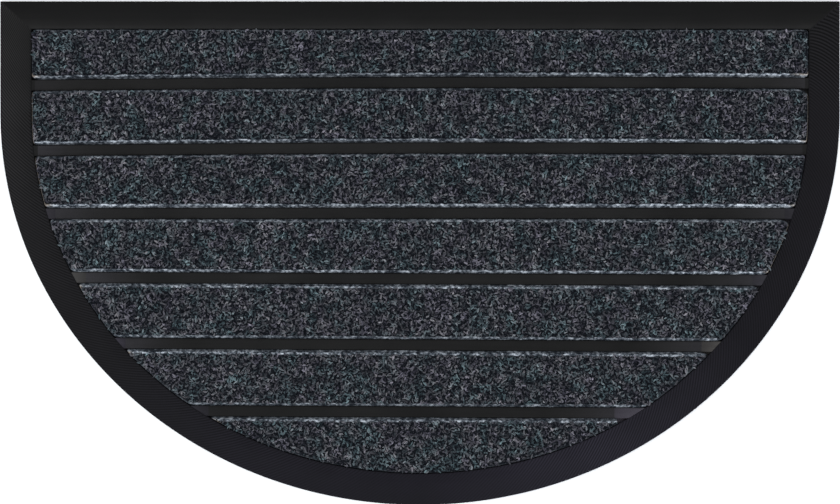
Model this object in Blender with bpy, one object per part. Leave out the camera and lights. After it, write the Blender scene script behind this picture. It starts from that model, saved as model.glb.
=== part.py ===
"""Half round doormat: a moulded rubber base with seven needled felt strips pressed into it.

X runs across the mat, +Y points to its straight back edge and +Z is up. The origin is on the floor, at the
middle of the mat's box. Everything is in metres.
"""

import math
from collections import namedtuple

import bmesh
import bpy

# Plan of the mat: a straight back, two short straight sides and half an ellipse in front.
MAT_WIDTH = 0.750
MAT_DEPTH = 0.450
STRAIGHT_SIDE = 0.100
CURVE_STEPS = 80

# Border: thin at the outline, rising to a level crown round the felt.
SIDE_BORDER = 0.0287
BACK_BORDER = 0.0253
LIP_HEIGHT = 0.0015
CROWN_HEIGHT = 0.0068

# Drainage channels between the strips, with floors of rubber.
CHANNEL_WIDTH = 0.0101
CHANNEL_FLOOR = 0.0045
CHANNEL_END_RUN = 0.003  # the least length of the slope that climbs from a channel's end to the border
BOW_REACH = 0.330  # a channel's bow is stated this far out from the mat's middle

# Felt strips.
FELT_BOTTOM = 0.0030
FELT_TOP = 0.0080
CORNER_CUT = 0.0035  # how far along each side a strip's corner starts to turn
CORNER_STEPS = 4
END_STEPS = 5
FRONT_ARC_STEPS = 16
BOWED_EDGE_STEPS = 10
FIT_GAP = 0.0003

RUBBER_COLOUR = (0.016, 0.0155, 0.0165, 1.0)
RUBBER_ROUGHNESS = 0.55
FELT_COLOUR = (0.033, 0.037, 0.043, 1.0)
FELT_ROUGHNESS = 0.9
SMOOTH_BELOW = math.radians(35)

BACK_Y = MAT_DEPTH / 2
CURVE_Y = BACK_Y - STRAIGHT_SIDE

# Each channel, from the back: where its middle lies from the back edge, how steeply it runs off square
# (the rise of Y for each metre of X), and how far its two ends bow towards the front. The mould isn't quite even.
Channel = namedtuple("Channel", "from_back slope bow")
CHANNELS = [
    Channel(from_back=0.0729, slope=0.0027, bow=0.0014),
    Channel(from_back=0.1316, slope=0.0016, bow=0.0017),
    Channel(from_back=0.1896, slope=0.0, bow=0.0004),
    Channel(from_back=0.2477, slope=-0.0040, bow=0.0),
    Channel(from_back=0.3067, slope=-0.0058, bow=0.0),
    Channel(from_back=0.3665, slope=-0.0053, bow=0.0),
]

# The border's top from its lip inwards: the share of the border's width, and the height there.
Rise = namedtuple("Rise", "share height")
BORDER_RISE = [
    Rise(share=0.0, height=LIP_HEIGHT),
    Rise(share=0.42, height=0.0054),
    Rise(share=0.55, height=0.0064),
    Rise(share=0.66, height=CROWN_HEIGHT),
    Rise(share=0.75, height=CROWN_HEIGHT),
]

# A strip's pressed edge, from its foot to its top: how far in from the outline, and how high.
Ring = namedtuple("Ring", "inset height")
FELT_EDGE = [
    Ring(inset=0.0, height=FELT_BOTTOM),
    Ring(inset=0.0, height=0.0050),
    Ring(inset=0.0006, height=0.0064),
    Ring(inset=0.0016, height=0.0074),
    Ring(inset=0.0030, height=FELT_TOP),
]


def clear_scene():
    """Remove every object that the file already holds."""
    for obj in list(bpy.data.objects):
        bpy.data.objects.remove(obj, do_unlink=True)


def finish(name, colour, roughness):
    """A Principled material."""
    material = bpy.data.materials.new(name)
    material.use_nodes = True
    shader = material.node_tree.nodes["Principled BSDF"]
    shader.inputs["Base Color"].default_value = colour
    shader.inputs["Roughness"].default_value = roughness
    shader.inputs["Metallic"].default_value = 0.0
    return material


def add_object(name, bm):
    """Turn a bmesh into a shaded object of the scene."""
    bmesh.ops.recalc_face_normals(bm, faces=bm.faces)
    mesh = bpy.data.meshes.new(name)
    bm.to_mesh(mesh)
    bm.free()
    mesh.shade_smooth()
    mesh.set_sharp_from_angle(angle=SMOOTH_BELOW)
    obj = bpy.data.objects.new(name, mesh)
    bpy.context.scene.collection.objects.link(obj)
    return obj


def loft(rings):
    """A closed body through rings of (x, y, z) points, each with as many points, from the lowest up."""
    bm = bmesh.new()
    rows = [[bm.verts.new(point) for point in ring] for ring in rings]
    for low, high in zip(rows, rows[1:]):
        for i in range(len(low)):
            j = (i + 1) % len(low)
            bm.faces.new((low[i], low[j], high[j], high[i]))
    bm.faces.new(rows[0])
    bm.faces.new(rows[-1])
    return bm


def at_height(outline, height):
    return [(x, y, height) for x, y in outline]


def side_size(inset):
    """Half width, and depth of the curve, of the mat's outline when its sides move in by inset."""
    return MAT_WIDTH / 2 - inset, MAT_DEPTH - STRAIGHT_SIDE - inset


def side_turn(y, inset):
    """Where a side has the given Y: an angle of the ellipse, or below 0 on the straight part."""
    depth = side_size(inset)[1]
    if y >= CURVE_Y:
        return (CURVE_Y - y) / depth
    return math.asin((CURVE_Y - y) / depth)


def side_point(turn, inset, hand):
    """The point of the left (hand -1) or right (hand 1) side at that turn."""
    half, depth = side_size(inset)
    if turn < 0:
        return hand * half, CURVE_Y - turn * depth
    return hand * half * math.cos(turn), CURVE_Y - depth * math.sin(turn)


def mat_outline(back_inset, side_inset):
    """The mat's plan with its edges moved in, anticlockwise from the back right corner."""
    half, depth = side_size(side_inset)
    points = [(half, BACK_Y - back_inset), (-half, BACK_Y - back_inset)]
    for step in range(CURVE_STEPS + 1):
        turn = math.pi * (1 + step / CURVE_STEPS)
        points.append((half * math.cos(turn), CURVE_Y + depth * math.sin(turn)))
    return points


def channel_y(channel, x):
    """The Y of a channel's middle line."""
    return BACK_Y - channel.from_back + channel.slope * x - channel.bow * (x / BOW_REACH) ** 2


def corner_of(edge_y, inset, hand):
    """Where an edge, given as Y for each X, meets the left or right side."""
    x = hand * side_size(inset)[0]
    for _ in range(8):
        x = side_point(side_turn(edge_y(x), inset), inset, hand)[0]
    return x, edge_y(x)


def edge_points(edge_y, start_x, end_x, bow):
    """Points between the two ends of an edge, which a straight edge doesn't need."""
    if not bow:
        return []
    shares = [step / BOWED_EDGE_STEPS for step in range(1, BOWED_EDGE_STEPS)]
    xs = [start_x + share * (end_x - start_x) for share in shares]
    return [(x, edge_y(x)) for x in xs]


def side_points(start, end, steps, inset, hand):
    """Points of one side between two turns, without its two ends."""
    turns = [start + (end - start) * step / steps for step in range(1, steps)]
    return [side_point(turn, inset, hand) for turn in turns]


def towards(start, end, distance):
    """The point that lies a distance from start on the way to end."""
    length = math.dist(start, end)
    return tuple(a + (b - a) * distance / length for a, b in zip(start, end))


def rounded(points, corners):
    """The outline with each named corner turned along a short curve."""
    result = []
    for i, point in enumerate(points):
        if point not in corners:
            result.append(point)
            continue
        start = towards(point, points[i - 1], CORNER_CUT)
        end = towards(point, points[(i + 1) % len(points)], CORNER_CUT)
        for step in range(CORNER_STEPS + 1):
            t = step / CORNER_STEPS
            weights = ((1 - t) ** 2, 2 * t * (1 - t), t**2)
            curve = [sum(w * p[axis] for w, p in zip(weights, (start, point, end))) for axis in (0, 1)]
            result.append(tuple(curve))
    return result


def strip_outline(number, inset):
    """Plan of a felt strip, counted from 0 at the back, with its edges moved in by inset."""
    side_inset = SIDE_BORDER + FIT_GAP + inset
    from_channel = CHANNEL_WIDTH / 2 + inset
    behind = CHANNELS[number - 1] if number > 0 else None
    before = CHANNELS[number] if number < len(CHANNELS) else None

    def back_y(x):
        if behind is None:
            return BACK_Y - BACK_BORDER - FIT_GAP - inset
        return channel_y(behind, x) - from_channel

    def front_y(x):
        return channel_y(before, x) + from_channel

    back = {hand: corner_of(back_y, side_inset, hand) for hand in (-1, 1)}
    start = {hand: side_turn(back[hand][1], side_inset) for hand in (-1, 1)}
    points = [back[1]] + edge_points(back_y, back[1][0], back[-1][0], behind and behind.bow) + [back[-1]]
    if before is None:
        points += side_points(start[-1], math.pi / 2, FRONT_ARC_STEPS, side_inset, -1)
        points.append(side_point(math.pi / 2, side_inset, 1))
        points += side_points(math.pi / 2, start[1], FRONT_ARC_STEPS, side_inset, 1)
        return rounded(points, back.values())
    front = {hand: corner_of(front_y, side_inset, hand) for hand in (-1, 1)}
    end = {hand: side_turn(front[hand][1], side_inset) for hand in (-1, 1)}
    points += side_points(start[-1], end[-1], END_STEPS, side_inset, -1)
    points += [front[-1]] + edge_points(front_y, front[-1][0], front[1][0], before.bow) + [front[1]]
    points += side_points(end[1], start[1], END_STEPS, side_inset, 1)
    return rounded(points, [*back.values(), *front.values()])


def channel_cutter(channel):
    """The space of one channel: level over its floor, and climbing to the border at both ends.

    It is wider than the channel, because the pockets on either side cut that much away too.
    """
    half = CHANNEL_WIDTH / 2
    spread = half + CORNER_CUT
    above = 2 * CROWN_HEIGHT - CHANNEL_FLOOR
    bm = bmesh.new()
    for hand in (-1, 1):
        corners = [
            corner_of(lambda x, offset=offset: channel_y(channel, x) + offset, SIDE_BORDER, hand)
            for offset in (spread, half, -half, -spread)
        ]
        end = min(abs(corners[1][0]), abs(corners[2][0])) - CHANNEL_END_RUN
        outer_end = min(end, abs(corners[3][0]) - CHANNEL_END_RUN)
        floor = [(end, corners[0][1]), (end, corners[2][1]), (outer_end, corners[3][1])]
        for x, y in floor:
            bm.verts.new((hand * x, y, CHANNEL_FLOOR))
        for x, y in corners:
            bm.verts.new((x, y, CROWN_HEIGHT))
            bm.verts.new((x, y, above))
    bmesh.ops.convex_hull(bm, input=bm.verts)
    return bm


def make_cutter(name, bm, target):
    """Cut a body out of the target, and keep it as a hidden guide."""
    cutter = add_object(name, bm)
    cutter.hide_render = True
    cutter.display_type = "WIRE"
    cut = target.modifiers.new(name, "BOOLEAN")
    cut.operation = "DIFFERENCE"
    cut.solver = "EXACT"
    cut.object = cutter


def make_base():
    """Rubber base: the bevelled plate, less its channels and the pockets that hold the felt."""
    profile = [Rise(share=0.0, height=0.0), *BORDER_RISE]
    rings = [at_height(mat_outline(share * BACK_BORDER, share * SIDE_BORDER), z) for share, z in profile]
    base = add_object("rubber_base", loft(rings))
    base.data.materials.append(finish("moulded_rubber", RUBBER_COLOUR, RUBBER_ROUGHNESS))
    for number, channel in enumerate(CHANNELS, start=1):
        make_cutter(f"channel_cutter_{number}", channel_cutter(channel), base)
    for number in range(len(CHANNELS) + 1):
        pocket = strip_outline(number, -FIT_GAP)
        body = loft([at_height(pocket, FELT_BOTTOM - FIT_GAP), at_height(pocket, 2 * FELT_TOP)])
        make_cutter(f"pocket_cutter_{number + 1}", body, base)


def make_strips():
    """Felt strips: flat, with edges that the hot mould presses down all round."""
    for number in range(len(CHANNELS) + 1):
        rings = [at_height(strip_outline(number, ring.inset), ring.height) for ring in FELT_EDGE]
        strip = add_object(f"felt_strip_{number + 1}", loft(rings))
        strip.data.materials.append(finish(f"needled_felt_{number + 1}", FELT_COLOUR, FELT_ROUGHNESS))


clear_scene()
make_base()
make_strips()
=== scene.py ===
"""Looks of a half round doormat: a moulded rubber base with seven strips of needled felt pressed into it."""

import math

import bpy
import numpy as np
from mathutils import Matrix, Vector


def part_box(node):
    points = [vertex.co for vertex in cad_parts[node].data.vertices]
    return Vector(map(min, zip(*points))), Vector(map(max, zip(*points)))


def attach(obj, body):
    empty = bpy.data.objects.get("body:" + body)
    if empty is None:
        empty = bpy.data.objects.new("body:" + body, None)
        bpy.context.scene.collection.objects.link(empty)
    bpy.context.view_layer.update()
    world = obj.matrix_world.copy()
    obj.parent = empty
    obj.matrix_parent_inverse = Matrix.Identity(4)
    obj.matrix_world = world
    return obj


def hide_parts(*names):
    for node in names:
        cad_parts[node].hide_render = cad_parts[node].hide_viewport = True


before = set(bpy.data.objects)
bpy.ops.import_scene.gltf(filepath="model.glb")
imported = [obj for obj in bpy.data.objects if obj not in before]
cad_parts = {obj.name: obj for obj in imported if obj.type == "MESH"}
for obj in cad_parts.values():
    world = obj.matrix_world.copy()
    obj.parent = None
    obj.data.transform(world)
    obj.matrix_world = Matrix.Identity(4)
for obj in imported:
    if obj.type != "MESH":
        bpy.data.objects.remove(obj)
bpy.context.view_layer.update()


# Border of the base: black rubber, hot-pressed in one mould with the rest of the base. It rises from a thin lip
# to a rounded crown round the felt. The mould's fine diamond grain is on the sides and the curve, and the
# straight back is smooth. The two meet in a mitre at each back corner.
base_low, base_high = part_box("rubber_base")
HALF_WIDTH = base_high.x
BACK_Y = base_high.y
CROWN = base_high.z
STRAIGHT_SIDE = 0.100
CURVE_Y = BACK_Y - STRAIGHT_SIDE
CURVE_DEPTH = CURVE_Y - base_low.y
SIDE_BORDER = 0.0287
BACK_BORDER = 0.0253
LIP = 0.0015
LIP_ROUND = 0.0003
CROWN_STARTS = 0.72  # share of the border's width
CROWN_SWELL = 1.52
CROWN_FALL = 0.0005
INNER_ROUND = 0.0007
GRAIN_ALONG = 0.00185  # half the length of a diamond of the grain, along the border
GRAIN_ACROSS = 0.00150
GRAIN_DEPTH = 0.00016
GRAIN_FADE = 0.0015
BACK_STEPS = 60
# The opening inside the border is a little wider than a true half ellipse, by these shares of X, left and right.
WIDER = {
    "y": [-0.185, -0.165, -0.142, -0.112, -0.085, -0.055, -0.030, 0.0, 0.065, 0.120, 0.200],
    "left": [0.022, 0.0180, 0.0150, 0.0085, 0.0071, 0.0035, 0.0015, 0.0, 0.0, 0.0, 0.0],
    "right": [0.016, 0.0113, 0.0093, 0.0035, 0.0023, 0.0022, 0.0012, 0.0, 0.0, 0.0, 0.0005],
}


def widened(points):
    """Points of the border's inner edge or of anything inside it, moved out from the middle by those shares."""
    points = np.array(points, float)
    x, y = points[..., 0], points[..., 1]
    left, right = (np.interp(y, WIDER["y"], WIDER[hand]) for hand in ("left", "right"))
    points[..., 0] = x * (1 + np.where(x < 0, left, right))
    return points


def crown_height(share):
    """Height of the border's top at a share of its width, from the lip inwards."""
    climb = 1 - np.clip(1 - share / CROWN_STARTS, 0, 1) ** CROWN_SWELL
    fall = np.clip((share - CROWN_STARTS) / (1 - CROWN_STARTS), 0, 1) ** 2
    return LIP + (CROWN - LIP) * climb - CROWN_FALL * fall


def border_stations():
    """Places along the border, anticlockwise from the back right corner: outer and inner point, and grain."""
    half, inner_half = HALF_WIDTH, HALF_WIDTH - SIDE_BORDER
    inner_back = BACK_Y - BACK_BORDER
    side_steps = round(STRAIGHT_SIDE / GRAIN_ALONG)
    curve_steps = round(math.pi * (HALF_WIDTH + CURVE_DEPTH) / 2 / GRAIN_ALONG)
    back = np.concatenate([[0, 0.002], np.linspace(0.004, 0.996, BACK_STEPS), [0.998]])
    side = np.arange(side_steps) / side_steps
    turn = np.linspace(0, math.pi, curve_steps + 1)
    outer = [
        np.column_stack([half - 2 * half * back, np.full_like(back, BACK_Y)]),
        np.column_stack([np.full_like(side, -half), BACK_Y - side * STRAIGHT_SIDE]),
        np.column_stack([-half * np.cos(turn), CURVE_Y - CURVE_DEPTH * np.sin(turn)]),
        np.column_stack([np.full_like(side, half), CURVE_Y + (side + 1 / side_steps) * STRAIGHT_SIDE])[:-1],
    ]
    inner_depth = CURVE_DEPTH - SIDE_BORDER
    drop = inner_back - CURVE_Y
    inner = [
        np.column_stack([inner_half - 2 * inner_half * back, np.full_like(back, inner_back)]),
        np.column_stack([np.full_like(side, -inner_half), inner_back - side * drop]),
        np.column_stack([-inner_half * np.cos(turn), CURVE_Y - inner_depth * np.sin(turn)]),
        np.column_stack([np.full_like(side, inner_half), CURVE_Y + (side + 1 / side_steps) * drop])[:-1],
    ]
    outer = np.concatenate(outer)
    inner = widened(np.concatenate(inner))
    along = np.arange(len(outer)) - len(back)
    from_mitre = np.minimum(along, len(outer) - 1 - along - len(back)) * GRAIN_ALONG
    grain = np.clip(from_mitre / GRAIN_FADE, 0, 1) * (along >= 0)
    return outer, inner, grain, len(back)


def section_points():
    """The border's section as a closed loop: share of the width, height, and how deep the grain is there."""
    across = np.arange(1, round(SIDE_BORDER / GRAIN_ACROSS)) * GRAIN_ACROSS / SIDE_BORDER
    across = across[across < 1 - INNER_ROUND / SIDE_BORDER]
    edge_fade = np.clip(np.minimum(across, 1 - across) * SIDE_BORDER / GRAIN_FADE - 0.3, 0, 1)
    inner_top = float(crown_height(np.float64(1)))
    rounding = np.radians([25, 50, 75, 90])
    section = [(1, 0, 0), (0, 0, 0), (0, LIP - LIP_ROUND, 0), (0.3 * LIP_ROUND / SIDE_BORDER, LIP, 0)]
    section += list(zip(across, crown_height(across), edge_fade))
    section += [
        (1 - INNER_ROUND * (1 - math.sin(a)) / SIDE_BORDER, inner_top - INNER_ROUND * (1 - math.cos(a)), 0)
        for a in rounding
    ]
    return np.array(section, float).T


def new_piece(name, points, faces, loose_edges_below=30):
    """A mesh object from arrays of points and faces, shaded smooth but for its sharper edges."""
    mesh = bpy.data.meshes.new(name)
    mesh.from_pydata(points, [], faces)
    mesh.update()
    mesh.shade_smooth()
    mesh.set_sharp_from_angle(angle=math.radians(loose_edges_below))
    piece = bpy.data.objects.new(name, mesh)
    bpy.context.scene.collection.objects.link(piece)
    return piece


def store(piece, name, values):
    """Keep one number for each point of the mesh, for its material."""
    layer = piece.data.attributes.new(name, "FLOAT", "POINT")
    layer.data.foreach_set("value", np.asarray(values, np.float32).ravel())


def ring_faces(stations, loop):
    """Quads of a tube that closes both ways: points are in order of station, then round the section."""
    i, j = np.meshgrid(np.arange(stations), np.arange(loop), indexing="ij")
    following, beside = (i + 1) % stations, (j + 1) % loop
    quads = [i * loop + j, i * loop + beside, following * loop + beside, following * loop + j]
    return np.stack(quads, -1).reshape(-1, 4).tolist()


class Shade:
    """An output of a node in a material. Arithmetic on it adds Math nodes, with numbers on either side."""

    def __init__(self, tree, socket=None):
        self.tree = tree
        self.socket = socket

    def node(self, kind, settings=None, values=None, output=0):
        """Add a node to the material: first its settings, then the values or links of its sockets."""
        node = self.tree.nodes.new(kind)
        for name, value in (settings or {}).items():
            if name == "stops":
                while len(node.color_ramp.elements) < len(value):
                    node.color_ramp.elements.new(1)
                for element, (position, colour) in zip(node.color_ramp.elements, value):
                    element.position = position
                    element.color = (*colour, 1)
            else:
                setattr(node, name, value)
        for name, value in (values or {}).items():
            if isinstance(value, Shade):
                self.tree.links.new(value.socket, node.inputs[name])
            else:
                node.inputs[name].default_value = value
        return Shade(self.tree, node.outputs[output] if node.outputs else None)

    def maths(self, operation, *values):
        return self.node("ShaderNodeMath", {"operation": operation}, dict(enumerate(values)))

    def __add__(self, other):
        return self.maths("ADD", self, other)

    def __sub__(self, other):
        return self.maths("SUBTRACT", self, other)

    def __rsub__(self, other):
        return self.maths("SUBTRACT", other, self)

    def __mul__(self, other):
        return self.maths("MULTIPLY", self, other)

    __radd__ = __add__
    __rmul__ = __mul__

    def clipped(self):
        return self.node("ShaderNodeClamp", {}, {"Value": self})

    def mixed(self, first, second):
        """A colour between two, by this share of the second."""
        settings = {"data_type": "RGBA"}
        return self.node("ShaderNodeMix", settings, {0: self, 6: first, 7: second}, output=2)

    def noise(self, place, size, detail=2.0, roughness=0.5):
        """Soft random values, centred on a half, in patches of about that size in metres."""
        values = {"Vector": place, "Scale": 1 / size, "Detail": detail, "Roughness": roughness}
        return self.node("ShaderNodeTexNoise", {}, values)

    def measured(self, name):
        """The number that the mesh keeps under that name."""
        return self.node("ShaderNodeAttribute", {"attribute_name": name}, {}, output="Fac")

    def stretched(self, place, along):
        """Places squeezed in X, so that patches grow longer that many times."""
        values = {"Vector": place, "Scale": (1 / along, 1, 1)}
        return self.node("ShaderNodeMapping", {"vector_type": "POINT"}, values)


def new_finish(name, make):
    """A material whose Principled sockets are what make returns, given a start and the place on the piece."""
    material = bpy.data.materials.new(name)
    material.use_nodes = True
    material.node_tree.nodes.clear()
    start = Shade(material.node_tree)
    place = start.node("ShaderNodeTexCoord", output="Object")
    shader = start.node("ShaderNodeBsdfPrincipled", {}, make(start, place))
    start.node("ShaderNodeOutputMaterial", {}, {"Surface": shader})
    return material


VIOLET_RUBBER = (0.0078, 0.0071, 0.0102, 1)
NEUTRAL_RUBBER = (0.0094, 0.0092, 0.0090, 1)
WARM_RUBBER = (0.0104, 0.0090, 0.0081, 1)


def rubber(start, place):
    """Matt black rubber, slightly violet round the curve, faintly cloudy, finely streaked where it is smooth, with
    painted light and shade carried in its tone.
    """
    grain = start.measured("grain")
    cloud = start.noise(place, 0.030, detail=3)
    speck = start.noise(place, 0.0012)
    streak = start.noise(start.stretched(place, 30), 0.0025)
    colour = start.measured("violet").mixed(NEUTRAL_RUBBER, VIOLET_RUBBER)
    colour = start.measured("warm").mixed(colour, WARM_RUBBER)
    light = (cloud * 0.5 + streak * (0.3 - grain * 0.3) + speck * 0.3 + 0.45) * start.measured("tone")
    colour = start.node("ShaderNodeVectorMath", {"operation": "SCALE"}, {"Vector": colour, "Scale": light})
    relief = speck * 0.5 + streak * (0.5 - grain * 0.5)
    bump = start.node("ShaderNodeBump", {}, {"Height": relief, "Strength": 0.25, "Distance": 0.0002})
    return {
        "Base Color": colour,
        "Roughness": cloud * 0.2 + speck * 0.1 + 0.55,
        "Specular IOR Level": 0.07,
        "Normal": bump,
    }


rubber_finish = new_finish("moulded_rubber", rubber)
# How light the rubber is painted, as painted light and shade on its slopes and crown, how much lighter the grain's
# crests are painted, as painted highlights, and how violet it is, at shares of the way round the curved edge from
# the left back corner to the right one, and across the straight back.
ROUND_CURVE = {
    "way": [0.0, 0.07, 0.25, 0.38, 0.50, 0.62, 0.75, 0.93, 1.0],
    "outer_tone": [1.20, 1.30, 0.78, 0.98, 0.85, 1.80, 0.84, 1.08, 0.90],
    "inner_tone": [0.95, 0.95, 0.78, 1.05, 1.05, 1.90, 0.84, 0.76, 0.74],
    "crest_tone": [1.30, 1.40, 0.60, 0.50, 0.30, 0.70, 0.50, 0.90, 0.90],
    "violet": [0.0, 0.1, 0.4, 0.9, 1.0, 1.0, 0.8, 0.5, 0.3],
}
BACK_TONES = {"share": [0, 0.35, 0.62, 0.82, 0.97, 1], "tone": [0.52, 0.58, 0.70, 0.95, 1.45, 1.2]}

outer, inner, grain, back_count = border_stations()
share, height, depth = section_points()
points = outer[:, None] + share[None, :, None] * (inner - outer)[:, None]
checker = (np.add.outer(np.arange(len(outer)), np.arange(len(share))) % 2) * 2 - 1
heights = height + GRAIN_DEPTH * depth * checker * grain[:, None]
border_points = np.concatenate([points, heights[..., None]], -1).reshape(-1, 3)
border = new_piece("rubber_border", border_points, ring_faces(len(outer), len(share)), 40)
way = (np.arange(len(outer)) - back_count) / (len(outer) - back_count)
outer_tone, inner_tone, crest_tone, violet = (
    np.interp(way, ROUND_CURVE["way"], ROUND_CURVE[column])[:, None]
    for column in ("outer_tone", "inner_tone", "crest_tone", "violet")
)
# Painted light and shade across the border, and painted highlights on the crests of the grain.
tone = outer_tone + (inner_tone - outer_tone) * share
tone[:back_count] = np.interp(share, BACK_TONES["share"], BACK_TONES["tone"])
tone = tone * np.clip(1 + crest_tone * depth * checker * grain[:, None], 0.1, None)
store(border, "grain", np.repeat(grain, len(share)))
store(border, "tone", tone)
store(border, "violet", np.repeat(violet * (way >= 0)[:, None], len(share)))
store(border, "warm", np.zeros(len(border.data.vertices)))
mitres = {0, back_count}
for edge in border.data.edges:
    first, second = (v // len(share) for v in edge.vertices)
    if first == second and first in mitres:
        edge.use_edge_sharp = True
border.data.materials.append(rubber_finish)
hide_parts("rubber_base")
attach(border, "root")


# Middle of the base: the same moulding inside the border. Six flat bars stand between the felt strips as
# drainage channels, each a little off square, and climb to the border at their ends. The rest is the thin sheet
# that the felt lies on.
CHANNEL_WIDTH = 0.0101
CHANNEL_FLOOR = 0.0045
CHANNEL_END_RUN = 0.003  # from where a channel's shorter side ends
BOW_REACH = 0.330
FIT_GAP = 0.0003
POCKET_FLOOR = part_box("felt_strip_1")[0].z - FIT_GAP
UNDER_BORDER = 0.0005  # how far this sheet runs in under the border
SHEET_BOTTOM = 0.0002
# Per channel: its place from the back, slope, bow and tone, and the painted light on its bar near the left and right
# ends.
CHANNELS = {
    "from_back": [0.0729, 0.1313, 0.1894, 0.2479, 0.3068, 0.3666],
    "slope": [0.0027, 0.0016, 0.0, -0.0040, -0.0058, -0.0053],
    "bow": [0.0014, 0.0017, 0.0004, 0.0, 0.0, 0.0],
    "tone": [1.0, 1.03, 1.05, 1.0, 0.86, 0.84],
    "left_glow": [0.6, 1.4, 1.4, 1.8, 1.5, 0.3],
    "right_glow": [0.8, 0.7, 0.9, 1.4, 1.1, 1.1],
}
# How far along a bar the painted light near its ends reaches.
GLOW_REACH = 0.070
CLOUDING = 0.16
CLOUD_SEED = 3
# The facets that climb from the channels to the border are painted lighter at some ends, as a painted reflection.
# For such a channel and hand: how far the facet runs in, how light it is painted, how violet and how warm.
FACETS = {
    (2, -1): (0.0060, 2.5, 0.6, 0.1),
    (2, 1): (0.0060, 1.9, 0.5, 0.0),
    (3, -1): (0.0080, 3.9, 0.0, 0.2),
    (3, 1): (0.0080, 2.9, 0.5, 0.0),
    (4, -1): (0.0010, 3.3, 0.8, 0.1),
    (4, 1): (0.0088, 4.2, 0.0, 0.4),
    (5, -1): (0.0010, 2.0, 0.6, 0.0),
    (5, 1): (0.0120, 5.0, 0.8, 0.2),
}
CHANNEL_COUNT = len(CHANNELS["from_back"])


def side_turn(y, inset):
    """Where a side, moved in by inset, has the given Y: an angle of the ellipse, below 0 where it is straight."""
    ratio = (CURVE_Y - y) / (CURVE_DEPTH - inset)
    return np.where(ratio < 0, ratio, np.arcsin(np.clip(ratio, -1, 1)))


def side_x(y, inset):
    """Half width of the mat at Y, when its sides move in by inset."""
    return (HALF_WIDTH - inset) * np.cos(np.maximum(side_turn(y, inset), 0))


def channel_y(number, x):
    """Y of a channel's middle line, counted from 0 at the back."""
    from_back, slope, bow = (CHANNELS[column][number] for column in ("from_back", "slope", "bow"))
    return BACK_Y - from_back + slope * x - bow * (x / BOW_REACH) ** 2


def side_corner(edge_y, inset, hand):
    """X where an edge, given as Y for each X, meets the left (-1) or right (1) side."""
    x = hand * (HALF_WIDTH - inset)
    for _ in range(8):
        x = hand * side_x(edge_y(x), inset)
    return float(x)


def sheet_mesh(points, bottom):
    """A closed body under a grid of points: the grid, a skirt straight down and one face below."""
    rows, columns = points.shape[:2]
    index = np.arange(rows * columns).reshape(rows, columns)
    quads = np.stack([index[:-1, :-1], index[1:, :-1], index[1:, 1:], index[:-1, 1:]], -1).reshape(-1, 4)
    rim = np.concatenate([index[:-1, 0], index[-1, :-1], index[:0:-1, -1], index[0, :0:-1]])
    flat = points.reshape(-1, 3)
    below = flat[rim].copy()
    below[:, 2] = bottom
    low = len(flat) + np.arange(len(rim))
    skirt = np.stack([rim, low, np.roll(low, -1), np.roll(rim, -1)], -1)
    faces = quads.tolist() + skirt.tolist() + [low[::-1].tolist()]
    return np.concatenate([flat, below]), faces


BAR_STEPS = 110
RAMP = np.array([0.06, 0.3, 0.55, 0.8, 1.0])
FRONT_TURNS = np.linspace(0.12, 1, 9) ** 0.6
half_bar = CHANNEL_WIDTH / 2 - FIT_GAP
# The bar's section: offset from its middle line, and height as a share of the bar.
BAR_SECTION = {
    "offset": [half_bar, half_bar, half_bar - 0.0003, half_bar - 0.0009, 0.0028, 0.0],
    "height": [0.0, 0.80, 0.98, 1.0, 0.975, 0.965],
}


def lumps(x, y, size, seed):
    """Soft random lumps of about that size, from -1 to 1."""
    table = np.random.default_rng(seed).uniform(-1, 1, (64, 64))
    u, v = x / size + 1000, y / size + 1000
    i, j = np.floor(u).astype(int), np.floor(v).astype(int)
    p, q = u - i, v - j
    p, q = p * p * (3 - 2 * p), q * q * (3 - 2 * q)
    near = table[i % 64, j % 64] * (1 - p) + table[(i + 1) % 64, j % 64] * p
    far = table[i % 64, (j + 1) % 64] * (1 - p) + table[(i + 1) % 64, (j + 1) % 64] * p
    return near * (1 - q) + far * q


def floor_row(edge_y, channel, share):
    """One line of the middle of the base, level in the pockets or along a channel's bar: X, Y and Z, and how
    light, violet and warm it is, with painted light near the ends of the bars and on some facets."""
    base_tone = CHANNELS["tone"][channel]
    sides = []
    for hand in (-1, 1):
        run, tone, violet, warm = FACETS.get((channel, hand), (CHANNEL_END_RUN, 1.0, 0.0, 0.0))
        end = abs(side_corner(edge_y, SIDE_BORDER, hand))
        shorter = min(
            abs(side_corner(lambda x: channel_y(channel, x) + offset, SIDE_BORDER, hand))
            for offset in (-CHANNEL_WIDTH / 2, CHANNEL_WIDTH / 2)
        )
        start = min(shorter - run, end - CHANNEL_END_RUN / 2)
        x = np.append(start + RAMP * (end - start), end + UNDER_BORDER)
        climb = np.append(RAMP, 1) * share
        looks = np.array([[base_tone + (tone - 1) * (0.6 + 0.5 * r), violet, warm] for r in [*RAMP, 1]])
        sides.append((hand * start, hand * x, climb, looks))
    (left, left_x, left_climb, left_looks), (right, right_x, right_climb, right_looks) = sides
    middle_x = np.linspace(left, right, BAR_STEPS + 1)
    x = np.concatenate([left_x[::-1], middle_x, right_x])
    climb = np.concatenate([left_climb[::-1], 0 * middle_x, right_climb])
    # Painted light on the bar near each end, lighter and a little violet.
    glow_left, glow_right = (np.clip(1 - np.abs(middle_x - end) / GLOW_REACH, 0, 1) ** 2 for end in (left, right))
    glow = glow_left * CHANNELS["left_glow"][channel] + glow_right * CHANNELS["right_glow"][channel]
    cloud = CLOUDING * lumps(middle_x, 0 * middle_x, 0.045, CLOUD_SEED + channel)
    bar_looks = np.column_stack([base_tone * (1 + cloud) + glow, 0.3 * np.clip(glow, 0, 1), 0 * glow])
    looks = np.concatenate([left_looks[::-1], bar_looks, right_looks])
    level = POCKET_FLOOR + share * (CHANNEL_FLOOR - POCKET_FLOOR)
    z = level + climb * (CROWN - CROWN_FALL - INNER_ROUND - CHANNEL_FLOOR)
    return np.column_stack([x, edge_y(x), z, looks])


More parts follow.
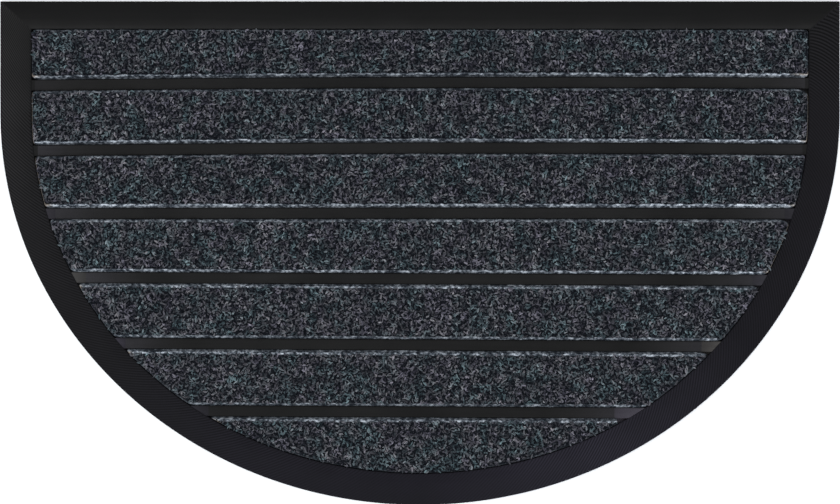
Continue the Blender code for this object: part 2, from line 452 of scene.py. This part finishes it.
def middle_rows():
    """Lines of the middle of the base, from the back to the front."""
    rows = [floor_row(lambda x: np.full_like(x, BACK_Y - BACK_BORDER + UNDER_BORDER), 0, 0.0)]
    offsets = BAR_SECTION["offset"] + [-o for o in BAR_SECTION["offset"][-2::-1]]
    shares = BAR_SECTION["height"] + BAR_SECTION["height"][-2::-1]
    for number in range(CHANNEL_COUNT):
        for offset, share in zip(offsets, shares):
            rows.append(floor_row(lambda x: channel_y(number, x) + offset, number, share))
    last = rows[-1]
    reach = HALF_WIDTH - SIDE_BORDER + UNDER_BORDER
    inner_depth = CURVE_DEPTH - SIDE_BORDER + UNDER_BORDER
    start_turn = float(side_turn(last[0, 1], SIDE_BORDER - UNDER_BORDER))
    for share in FRONT_TURNS:
        turn = start_turn + share * (math.pi / 2 - 0.004 - start_turn)
        x = last[:, 0] / np.abs(last[[0, -1], 0]).max() * reach * math.cos(turn)
        y = np.full_like(x, CURVE_Y - inner_depth * math.sin(turn))
        rows.append(np.column_stack([x, y, np.full_like(x, POCKET_FLOOR), last[:, 3:]]))
    return np.stack(rows)


rows = widened(middle_rows())
middle = new_piece("rubber_channels", *sheet_mesh(rows[..., :3], SHEET_BOTTOM))
plain = np.tile([1.0, 0.0, 0.0], (len(middle.data.vertices), 1))
plain[: rows[..., 0].size] = rows[..., 3:].reshape(-1, 3)
for name, values in zip(("tone", "violet", "warm"), plain.T):
    store(middle, name, values)
store(middle, "grain", np.zeros(len(middle.data.vertices)))
middle.data.materials.append(rubber_finish)
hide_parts("rubber_base")
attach(middle, "root")


# Felt strips: needled polypropylene felt, cut to the border's inner edge and set in the base's pockets. The hot
# mould presses the edges along the channels down to a narrow flange and a slope, and melts them to a hard,
# streaky gloss, whose bright lines are painted highlights in the colour under a real coat. The ends and the curve
# are only cut.
FELT_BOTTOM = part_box("felt_strip_1")[0].z
FELT_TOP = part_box("felt_strip_1")[1].z
FOOT = 0.0048
GROUND = FELT_TOP - 0.0007
CORNER = 0.0035
END_SLOPE = 0.0010
# The sheens are painted highlights: how light the bright line on each pressed slope is painted, here at the cut ends
# and in STRIPS for the back and front edges.
END_SHEEN = 0.12
STRIPS = {
    "back_flange": [0.0002, 0.0002, 0.0002, 0.0002, 0.0006, 0.0013, 0.0012],
    "back_slope": [0.0013, 0.0020, 0.0020, 0.0024, 0.0026, 0.0024, 0.0023],
    "back_sheen": [0.25, 0.38, 0.42, 0.48, 0.72, 0.84, 0.76],
    "front_flange": [0.0010, 0.0008, 0.0007, 0.0002, 0.0001, 0.0001, 0.0],
    "front_slope": [0.0021, 0.0022, 0.0024, 0.0024, 0.0023, 0.0022, 0.0010],
    "front_sheen": [0.70, 0.80, 0.86, 0.74, 0.56, 0.50, 0.12],
    "front_bare": [1.50, 1.40, 1.30, 1.15, 1.10, 0.95, 0.80],
}
BACK_BARE = 0.75  # the nap starts this far up, in slopes, and front_bare says the same for the front edges
# The painted highlight on the front edges is lighter towards the ends, most at the right, as the light falls there.
SHEEN_ACROSS = {"x": [-0.30, -0.15, -0.05, 0.05, 0.15, 0.30], "share": [0.90, 0.86, 0.72, 0.74, 0.96, 1.30]}
# Corners that are cut away more than the rest: strip, hand and edge, and the cut along the strip and across it.
CUT_CORNERS = {
    (0, -1, "front"): (0.0060, 0.0040),
    (1, 1, "back"): (0.0125, 0.0063),
    (3, 1, "back"): (0.0115, 0.0065),
    (4, 1, "back"): (0.0080, 0.0060),
    (5, 1, "back"): (0.0095, 0.0045),
}
# Ends of the pressed edges where the painted highlight turns light beige, and how far in, and the cut ends that are
# tinted brown.
BEIGE_LINE_ENDS = {
    (0, -1, "front"): 0.0060,
    (0, 1, "front"): 0.0125,
    (1, 1, "front"): 0.0060,
    (2, -1, "front"): 0.0060,
    (2, 1, "front"): 0.0055,
    (3, 1, "front"): 0.0050,
    (4, -1, "back"): 0.0030,
    (5, -1, "back"): 0.0035,
    (6, -1, "back"): 0.0040,
}
BROWN_CUT_ENDS = {(1, -1), (2, -1), (1, 1), (3, 1)}
STRIP_COUNT = CHANNEL_COUNT + 1
# The pressed slope's section, as shares of its width and of the whole rise.
SLOPE_AT = [-1.0, 0.0, 0.10, 0.32, 0.55, 0.78, 1.0]
SLOPE_RISE = [0.0, 0.12, 0.22, 0.50, 0.76, 0.94, 1.0]
ACROSS_STEP = 0.0019
ALONG_STEP = 0.0026
TIP_CUTS = 0.003, 0.009  # off the last strip's left and right tip
HOLLOW = 0.0005  # the cloth sinks this much beside a slope that the nap keeps clear of
WAVER = 0.00035
FIRST_SEED = 11


def back_edge(number, x):
    """Y of a strip's back edge."""
    if number == 0:
        return np.full_like(x, BACK_Y - BACK_BORDER - FIT_GAP)
    return channel_y(number - 1, x) - CHANNEL_WIDTH / 2


def front_edge(number, x):
    """Y of a strip's front edge, which on the last strip is the curve of the border."""
    if number < CHANNEL_COUNT:
        return channel_y(number, x) + CHANNEL_WIDTH / 2
    inset = SIDE_BORDER + FIT_GAP
    return CURVE_Y - (CURVE_DEPTH - inset) * np.sqrt(np.clip(1 - (x / (HALF_WIDTH - inset)) ** 2, 0, 1))


def corner_cut(number, hand, edge):
    """How far a strip's corner is rounded off, along the strip and across it."""
    return CUT_CORNERS.get((number, hand, edge), (CORNER, CORNER))


def pressed(number, x, y):
    """How far up the nearest slope a place is, 0 at its foot and 1 at its brow, that slope's sheen, which is a
    painted highlight, how far up the nap starts there, and how much beige tint the place has."""
    strip = {column: values[number] for column, values in STRIPS.items()}
    inset = SIDE_BORDER + FIT_GAP
    half, reach = HALF_WIDTH - inset, CURVE_DEPTH - inset
    below = np.minimum(y - CURVE_Y, 0)
    round_it = np.hypot(x / half, below / reach)
    from_side = np.where(below < 0, (1 / np.maximum(round_it, 1e-9) - 1) * np.hypot(x, below), half - np.abs(x))
    waver = WAVER * (lumps(x, 0 * x, 0.0045, FIRST_SEED + 30 + number) + lumps(x, 0 * x, 0.0016, FIRST_SEED + 40))
    inwards = {"back": back_edge(number, x) - y, "front": y - front_edge(number, x)}
    aside = side_x(y, inset) - np.abs(x)
    tinted_end = sum((x * hand > 0) * ((number, hand) in BROWN_CUT_ENDS) for hand in (-1, 1))
    brown = np.clip(1.5 - from_side / 0.0010, 0, 1) * np.clip(1 - inwards["front"] / 0.012, 0.3, 0.5) * tinted_end
    climbs = [(inwards["back"] + waver - strip["back_flange"]) / strip["back_slope"]]
    across = np.interp(x, SHEEN_ACROSS["x"], SHEEN_ACROSS["share"])
    sheens = [strip["back_sheen"] + 0 * x, strip["front_sheen"] * across, END_SHEEN + 0 * x]
    bares = [BACK_BARE, strip["front_bare"], BACK_BARE]
    if number < CHANNEL_COUNT:
        for hand in (-1, 1):
            for edge, inward in inwards.items():
                along, deep = corner_cut(number, hand, edge)
                u, v = 1 - aside / along, 1 - inward / deep
                here = (u > 0) & (v > 0) & (x * hand > 0)
                from_corner = (1 - np.hypot(u, v)) * min(along, deep)
                from_side = np.where(here, np.minimum(from_side, from_corner), from_side)
        climbs.append((inwards["front"] - waver - strip["front_flange"]) / strip["front_slope"])
        climbs.append(from_side / END_SLOPE)
    else:
        climbs.append(from_side / strip["front_slope"])
        climbs.append(from_side / strip["front_slope"])
    short = np.sqrt(sum(np.clip(1 - climb, 0, None) ** 2 for climb in climbs))
    nearest = np.argmin(climbs, 0)
    climb = np.where(short > 0, 1 - short, np.min(climbs, 0))
    scorch = brown
    for (strip_number, hand, edge), length in BEIGE_LINE_ENDS.items():
        if strip_number == number:
            mark = np.clip(1.4 - aside / length, 0, 1) * (x * hand > 0) * (inwards[edge] < 0.005)
            scorch = np.maximum(scorch, 0.6 * mark * np.clip(climb * 2.5 - 0.5, 0, 1))
    return climb, np.choose(nearest, sheens), np.array(bares)[nearest], scorch


def spread(length, first, last, step):
    """Places along a length: close together on the flange and slope at either end, and even between them."""
    shares = np.array(SLOPE_AT[1:] + [1.35])
    start = np.concatenate([[0], first[0] + shares * first[1]])
    end = length - np.concatenate([[0], last[0] + shares * last[1]])[::-1]
    count = max(2, round((end[0] - start[-1]) / step))
    return np.concatenate([start, np.linspace(start[-1], end[0], count + 1)[1:-1], end])


def strip_grid(number):
    """X and Y of a strip's grid of points, in rows from its back to its front."""
    back_press = STRIPS["back_flange"][number], STRIPS["back_slope"][number]
    front_press = STRIPS["front_flange"][number], STRIPS["front_slope"][number]
    inset = SIDE_BORDER + FIT_GAP
    left, right = (side_corner(lambda x: back_edge(number, np.asarray(x)), inset, hand) for hand in (-1, 1))
    depth = float(back_edge(number, np.zeros(1))[0] - front_edge(number, np.zeros(1))[0])
    across = spread(depth, back_press, front_press, ACROSS_STEP)
    if number == CHANNEL_COUNT:
        x = np.linspace(left + TIP_CUTS[0], right - TIP_CUTS[1], round((right - left) / ALONG_STEP))
        back, front = back_edge(number, x), front_edge(number, x)
        return np.broadcast_to(x, (len(across), len(x))), back - across[:, None] / depth * (back - front)
    along = spread(right - left, (0.0001, END_SLOPE), (0.0001, END_SLOPE), ALONG_STEP) / (right - left)
    rows = []
    for distance in across:

        def line(x):
            x = np.asarray(x, float)
            return back_edge(number, x) + distance / depth * (front_edge(number, x) - back_edge(number, x))

        turns = []
        for hand in (-1, 1):
            turn = 0.0
            for edge, inward in (("back", distance), ("front", depth - distance)):
                cut_along, cut_across = corner_cut(number, hand, edge)
                short = max(1 - inward / cut_across, 0)
                turn = max(turn, cut_along * (1 - math.sqrt(1 - short**2)))
            turns.append(turn)
        start = side_corner(line, inset, -1) + turns[0]
        end = side_corner(line, inset, 1) - turns[1]
        x = start + along * (end - start)
        rows.append((x, line(x)))
    return tuple(np.stack(part) for part in zip(*rows))


def lay_out(piece, shape, lanes):
    """Give the strip its own map for baked colours: its length in lanes, one over another, then skirt and foot."""
    rows, columns = shape
    quads = (rows - 1) * (columns - 1)
    rim = 2 * (rows - 1) + 2 * (columns - 1)
    i, j = np.divmod(np.arange(quads), columns - 1)
    corners_row = np.stack([i, i + 1, i + 1, i], -1) / (rows - 1)
    corners_column = np.stack([j, j, j + 1, j + 1], -1) / (columns - 1)
    lane = np.minimum((j + 0.5) / (columns - 1) * lanes, lanes - 1e-6).astype(int)[:, None]
    top_u = 0.01 + 0.98 * (corners_column * lanes - lane)
    top_v = (lane + 0.03 + 0.94 * corners_row) / lanes * 0.92
    k = np.arange(rim)
    skirt_u = np.stack([k, k, k + 1, k + 1], -1) / rim
    skirt_v = np.broadcast_to([0.99, 0.965, 0.965, 0.99], (rim, 4))
    angle = 2 * math.pi * np.arange(rim) / rim
    foot_u, foot_v = 0.5 + 0.45 * np.cos(angle), 0.942 + 0.012 * np.sin(angle)
    u = np.concatenate([top_u.ravel(), skirt_u.ravel(), foot_u])
    v = np.concatenate([top_v.ravel(), skirt_v.ravel(), foot_v])
    layer = piece.data.uv_layers.new(name="OFBake")
    layer.data.foreach_set("uv", np.column_stack([u, v]).astype(np.float32).ravel())


# Colours of the cloth under the nap: dark, and darker still as painted shadow between the tufts.
SHADOWED_CLOTH_SHADES = [
    (0.35, (0.0012, 0.0016, 0.0026)),
    (0.55, (0.0045, 0.0054, 0.0075)),
    (0.78, (0.022, 0.025, 0.030)),
]
# Colours of the melt, from its own dark colour up to the light of the painted highlight on the pressed slopes.
MELT_AND_HIGHLIGHT_SHADES = [
    (0.38, (0.010, 0.014, 0.020)),
    (0.46, (0.056, 0.069, 0.086)),
    (0.54, (0.228, 0.256, 0.290)),
    (0.64, (0.600, 0.652, 0.710)),
]
CUT_SHADE = (0.008, 0.009, 0.011, 1)
BEIGE_TINT = (0.360, 0.300, 0.240, 1)


def felt(start, place):
    """Felt: mixed dark fibres on the cloth, painted dark as shadow between them, a streaky glossy melt on the slopes
    whose bright lines are painted highlights, tinted beige and brown at some ends.
    """
    melted = start.measured("melted")
    sheen = start.measured("sheen")
    scorch = start.measured("scorch")
    tuft = start.noise(place, 0.0016, detail=3, roughness=0.65)
    # The cloth's colour, with painted shadow between the tufts.
    cloth = start.node("ShaderNodeValToRGB", {"stops": SHADOWED_CLOTH_SHADES}, {"Fac": tuft})
    blotch = start.noise(place, 0.009, detail=1)
    streak = start.noise(start.stretched(place, 1.4), 0.0020, detail=2, roughness=0.5) * 0.65 + blotch * 0.35
    # Painted highlight: the melt's colour, lighter where the sheen is high.
    melt_highlight = start.node("ShaderNodeValToRGB", {"stops": MELT_AND_HIGHLIGHT_SHADES}, {"Fac": streak})
    melt_highlight = sheen.clipped().mixed(CUT_SHADE, melt_highlight)
    # A light beige tint in the painted highlight at some line ends, and brown at some cut ends.
    melt_highlight = (scorch * (streak + 0.35)).clipped().mixed(melt_highlight, BEIGE_TINT)
    colour = melted.mixed(cloth, melt_highlight)
    bump = start.node("ShaderNodeBump", {}, {"Height": streak + tuft, "Strength": 0.5, "Distance": 0.0004})
    return {
        "Base Color": colour,
        "Roughness": 0.85,
        "Specular IOR Level": 0.04,
        "Coat Weight": (melted * sheen * (streak * 2.5 - 0.6)).clipped(),
        "Coat Roughness": 0.32,
        "Normal": bump,
    }


felt_finish = new_finish("needled_felt", felt)
strip_pieces = []
for number in range(STRIP_COUNT):
    x, y = strip_grid(number)
    climb, sheen, bare, scorch = pressed(number, x, y)
    rise = np.interp(climb, SLOPE_AT, SLOPE_RISE)
    on_nap = np.clip((climb - 1) * 4, 0, 1)
    nap = lumps(x, y, 0.0032, FIRST_SEED + number) * 0.00022 + lumps(x, y, 0.009, FIRST_SEED) * 0.00012
    nap -= HOLLOW * np.clip(1 - np.abs(climb - 1.3) * 3, 0, 1) * (bare > 1)
    worn = lumps(x / 3, y, 0.0020, FIRST_SEED + 50 + number) * 0.00008 * (climb > 0)
    z = FOOT + (GROUND - FOOT) * rise + nap * on_nap + worn * (1 - on_nap)
    name = f"felt_strip_{number + 1}"
    grid = widened(np.stack([x, y, z], -1))
    strip = new_piece(f"{name}_cloth", *sheet_mesh(grid, FELT_BOTTOM), 50)
    rim = np.zeros(len(strip.data.vertices) - x.size)
    melted = 1 - np.clip((climb - 0.90) / 0.25, 0, 1)
    # Patches of painted reflection on the flange, and the painted highlight on each slope.
    flange_glint = 0.25 * np.clip(lumps(x, 0 * y, 0.030, FIRST_SEED + 80 + number), 0, 1)
    shine = sheen * np.clip(climb * 1.6 + 0.2, 0.12 + flange_glint, 1)
    store(strip, "melted", np.concatenate([melted.ravel(), rim + 1]))
    store(strip, "sheen", np.concatenate([shine.ravel(), rim + 0.1]))
    store(strip, "scorch", np.concatenate([scorch.ravel(), rim]))
    lay_out(strip, x.shape, 4)
    strip.data.materials.append(felt_finish)
    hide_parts(name)
    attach(strip, "root")
    strip_pieces.append(strip)


# Nap of the felt: ends, bends and curls of the needled fibres, in little bunches that stand up from the cloth,
# some dark, some light, with a lean to green, violet or blue in patches. Each is a flat spindle, closed at both
# tips, that arches out of the cloth and back into it.
NAP = {
    "per_cm2": [12.0, 10.5, 8.5],
    "sections": [1, 2, 3],
    "length": [0.0025, 0.0034, 0.0044],
    "half_width": [0.00066, 0.00075, 0.00081],
    "turn": [0.4, 1.1, 2.0],
    "shade": [-0.45, -0.05, 0.40],
}
SHADE_SPREAD = 0.52
SECTION_WIDTHS = {1: [1.0], 2: [0.9, 0.9], 3: [0.8, 1.0, 0.8]}
NAP_SINKS = 0.0003
FLATNESS = 0.55


def spindles(centre, heading, turn, length, rise, half_width, sections):
    """Points and faces of many bent spindles, each with that many three-cornered sections between its tips."""
    along = np.linspace(0, 1, sections + 2)
    turn = np.where(np.abs(turn) < 0.01, 0.01, turn)[:, None]
    way = heading[:, None] + turn * (along - 0.5)
    scale = length[:, None] / turn
    spine = np.stack([np.sin(way), -np.cos(way), np.zeros_like(way)], -1) * scale[..., None]
    spine += centre[:, None] - spine.mean(1, keepdims=True) * [1, 1, 0]
    spine[..., 2] += (1 - (2 * along - 1) ** 2) * rise[:, None]
    aside = np.stack([-np.sin(way), np.cos(way), np.zeros_like(way)], -1)
    points = [spine[:, :1]]
    for k, width in enumerate(SECTION_WIDTHS[sections], 1):
        for angle in np.radians([90, 210, 330]):
            out = aside[:, k] * math.cos(angle) + [0, 0, FLATNESS * math.sin(angle)]
            points.append((spine[:, k] + out * width * half_width[:, None])[:, None])
    points.append(spine[:, -1:])
    points = np.concatenate(points, 1)
    last = 3 * sections + 1
    faces = []
    for side in range(3):
        beside = (side + 1) % 3
        faces.append((0, 1 + side, 1 + beside))
        faces.append((last, last - 3 + beside, last - 3 + side))
        for low in range(1, last - 3, 3):
            high = low + 3
            faces.append((low + side, high + side, high + beside))
            faces.append((low + side, high + beside, low + beside))
    faces = np.array(faces)[None] + np.arange(len(centre))[:, None, None] * (last + 1)
    return points.reshape(-1, 3), faces.reshape(-1, 3), last + 1


NAP_SHADES = [
    (0.00, (0.0026, 0.0034, 0.0056)),
    (0.25, (0.0145, 0.0163, 0.0200)),
    (0.50, (0.0410, 0.0450, 0.0510)),
    (0.68, (0.079, 0.086, 0.095)),
    (0.84, (0.133, 0.142, 0.153)),
    (1.00, (0.210, 0.221, 0.236)),
]
NAP_LEANS = [
    (0.00, (0.78, 1.04, 1.03)),
    (0.35, (0.96, 1.01, 1.00)),
    (0.65, (1.09, 0.98, 0.97)),
    (1.00, (1.08, 0.96, 1.08)),
]


def nap_colour(start, place):
    """Melange of fibres: each has its own shade and its own lean in colour."""
    melange = start.node("ShaderNodeValToRGB", {"stops": NAP_SHADES}, {"Fac": start.measured("shade")})
    lean = start.node("ShaderNodeValToRGB", {"stops": NAP_LEANS}, {"Fac": start.measured("lean")})
    settings = {"data_type": "RGBA", "blend_type": "MULTIPLY"}
    colour = start.node("ShaderNodeMix", settings, {0: 1.0, 6: melange, 7: lean}, output=2)
    return {"Base Color": colour, "Roughness": 0.75, "Specular IOR Level": 0.03}


nap_finish = new_finish("felt_nap", nap_colour)
for number, strip in enumerate(strip_pieces):
    dice = np.random.default_rng(FIRST_SEED + 100 + number)
    low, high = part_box(f"felt_strip_{number + 1}")
    all_points, all_faces, shades, leans = [], [], [], []
    point_count = 0
    for per_cm2, sections, length, half_width, turn, shade in zip(*NAP.values()):
        pitch = 0.01 / math.sqrt(per_cm2)
        columns, rows = int((high.x - low.x) / pitch), int((high.y - low.y) / pitch)
        column, row = np.meshgrid(np.arange(columns), np.arange(rows))
        x = low.x + (column.ravel() + dice.uniform(0, 1, column.size)) * pitch
        y = low.y + (row.ravel() + dice.uniform(0, 1, row.size)) * pitch
        climb, _, bare, _ = pressed(number, x, y)
        starts = bare + dice.uniform(0, 0.35, len(x))
        x, y = x[climb > starts], y[climb > starts]
        n = len(x)
        centre = widened(np.column_stack([x, y, np.full(n, GROUND - NAP_SINKS) + dice.uniform(0, 0.0002, n)]))
        points, faces, each = spindles(
            centre,
            dice.uniform(0, 2 * math.pi, n),
            dice.normal(0, turn, n),
            length * dice.uniform(0.65, 1.35, n),
            NAP_SINKS + dice.uniform(0.0002, 0.0007, n),
            half_width * dice.uniform(0.7, 1.3, n),
            sections,
        )
        all_points.append(points)
        all_faces.append(faces + point_count)
        point_count += len(points)
        bunch = lumps(x, y, 0.0032, FIRST_SEED + 70 + number)
        own = 0.5 + 0.2 * (shade + 1.4 * bunch + SHADE_SPREAD * dice.normal(0, 1, n))
        shades.append(np.repeat(np.clip(own, 0, 1), each))
        patch = 0.5 + 0.55 * lumps(x, y, 0.008, FIRST_SEED + 60) + dice.normal(0, 0.15, n)
        leans.append(np.repeat(np.clip(patch, 0, 1), each))
    nap = new_piece(f"felt_nap_{number + 1}", np.concatenate(all_points), np.concatenate(all_faces).tolist(), 80)
    store(nap, "shade", np.concatenate(shades))
    store(nap, "lean", np.concatenate(leans))
    nap.data.materials.append(nap_finish)
    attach(nap, "root")


# Studio: a plain white floor, low softboxes in front and behind that light the pressed felt and add a real
# gloss to its painted bright lines, a weaker one on either side, and a camera straight above the mat.
CAMERA_HEIGHT = 1.6
PICTURE_WIDTH = 840  # pixels
MAT_PIXELS = 839.4
MAT_DOWN_PIXELS = 1.15  # the mat's middle lies this far below the picture's
SENSOR = 36.0  # millimetres
FLOOR_SIZE = 12.0

floor = new_piece("floor", [(x, y, -0.0006) for x, y in ((-1, -1), (1, -1), (1, 1), (-1, 1))], [(0, 1, 2, 3)])
floor.scale = (FLOOR_SIZE / 2, FLOOR_SIZE / 2, 1)


def paper(start, place):
    """White seamless paper."""
    return {"Base Color": (0.95, 0.95, 0.95, 1), "Roughness": 0.9, "Specular IOR Level": 0.1}


floor.data.materials.append(new_finish("white_paper", paper))

SOFTBOXES = {
    "name": ["front", "back", "left", "right"],
    "place": [(0, -1.5, 1.45), (0, 1.5, 1.35), (-1.7, 0.1, 1.2), (1.7, -0.1, 1.2)],
    "size": [(2.6, 0.9), (2.6, 0.8), (1.6, 0.9), (1.6, 0.9)],
    "watts": [46, 27, 18, 12],
    "colour": [(0.90, 0.95, 1.0), (0.90, 0.95, 1.0), (1.0, 0.98, 0.98), (1.0, 0.96, 0.98)],
}
for name, place, size, watts, colour in zip(*SOFTBOXES.values()):
    lamp = bpy.data.lights.new(f"softbox_{name}", "AREA")
    lamp.shape = "RECTANGLE"
    lamp.size, lamp.size_y = size
    lamp.energy = watts
    lamp.color = colour
    softbox = bpy.data.objects.new(lamp.name, lamp)
    softbox.location = place
    softbox.rotation_mode = "QUATERNION"
    softbox.rotation_quaternion = softbox.location.to_track_quat("Z", "Y")
    bpy.context.scene.collection.objects.link(softbox)

world = bpy.data.worlds.new("studio")
world.use_nodes = True
background = world.node_tree.nodes["Background"]
background.inputs["Color"].default_value = (0.93, 0.95, 1.0, 1)
background.inputs["Strength"].default_value = 0.17
bpy.context.scene.world = world
bpy.context.scene.view_settings.view_transform = "Standard"

camera_data = bpy.data.cameras.new("camera")
camera = bpy.data.objects.new("camera", camera_data)
bpy.context.scene.collection.objects.link(camera)
picture_metres = PICTURE_WIDTH / MAT_PIXELS * 2 * HALF_WIDTH
camera_data.sensor_width = SENSOR
camera_data.lens = SENSOR * (CAMERA_HEIGHT - LIP) / picture_metres
camera.location = (0, MAT_DOWN_PIXELS * picture_metres / PICTURE_WIDTH, CAMERA_HEIGHT)
bpy.context.scene.camera = camera
